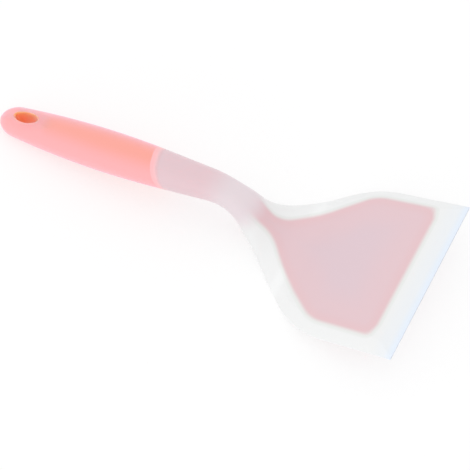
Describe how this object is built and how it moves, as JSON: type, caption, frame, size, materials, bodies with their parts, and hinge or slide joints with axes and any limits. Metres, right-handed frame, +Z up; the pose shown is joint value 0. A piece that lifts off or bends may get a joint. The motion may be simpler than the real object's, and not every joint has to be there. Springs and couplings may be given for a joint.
{
  "type": "silicone turner spatula",
  "caption": "Wide silicone turner with an S-shaped neck: a milky silicone blade and neck and a coral grip with a hang hole, moulded round a stiff core.",
  "frame": {"origin": "on the table, below the middle of the turner's bounding box, as it rests on the blade's heel and the handle's end", "axes": "+X along the turner towards the blade's front edge, +Y across it, +Z up from the table"},
  "size_m": [0.2872, 0.113, 0.0341],
  "materials": {
    "coral_nylon": "smooth moulded nylon",
    "milky_silicone": "satin translucent silicone",
    "coral_silicone": "satin silicone"
  },
  "bodies": {
    "root": {"core": "coral_nylon", "skin": "milky_silicone", "grip": "coral_silicone"}
  },
  "joints": []
}
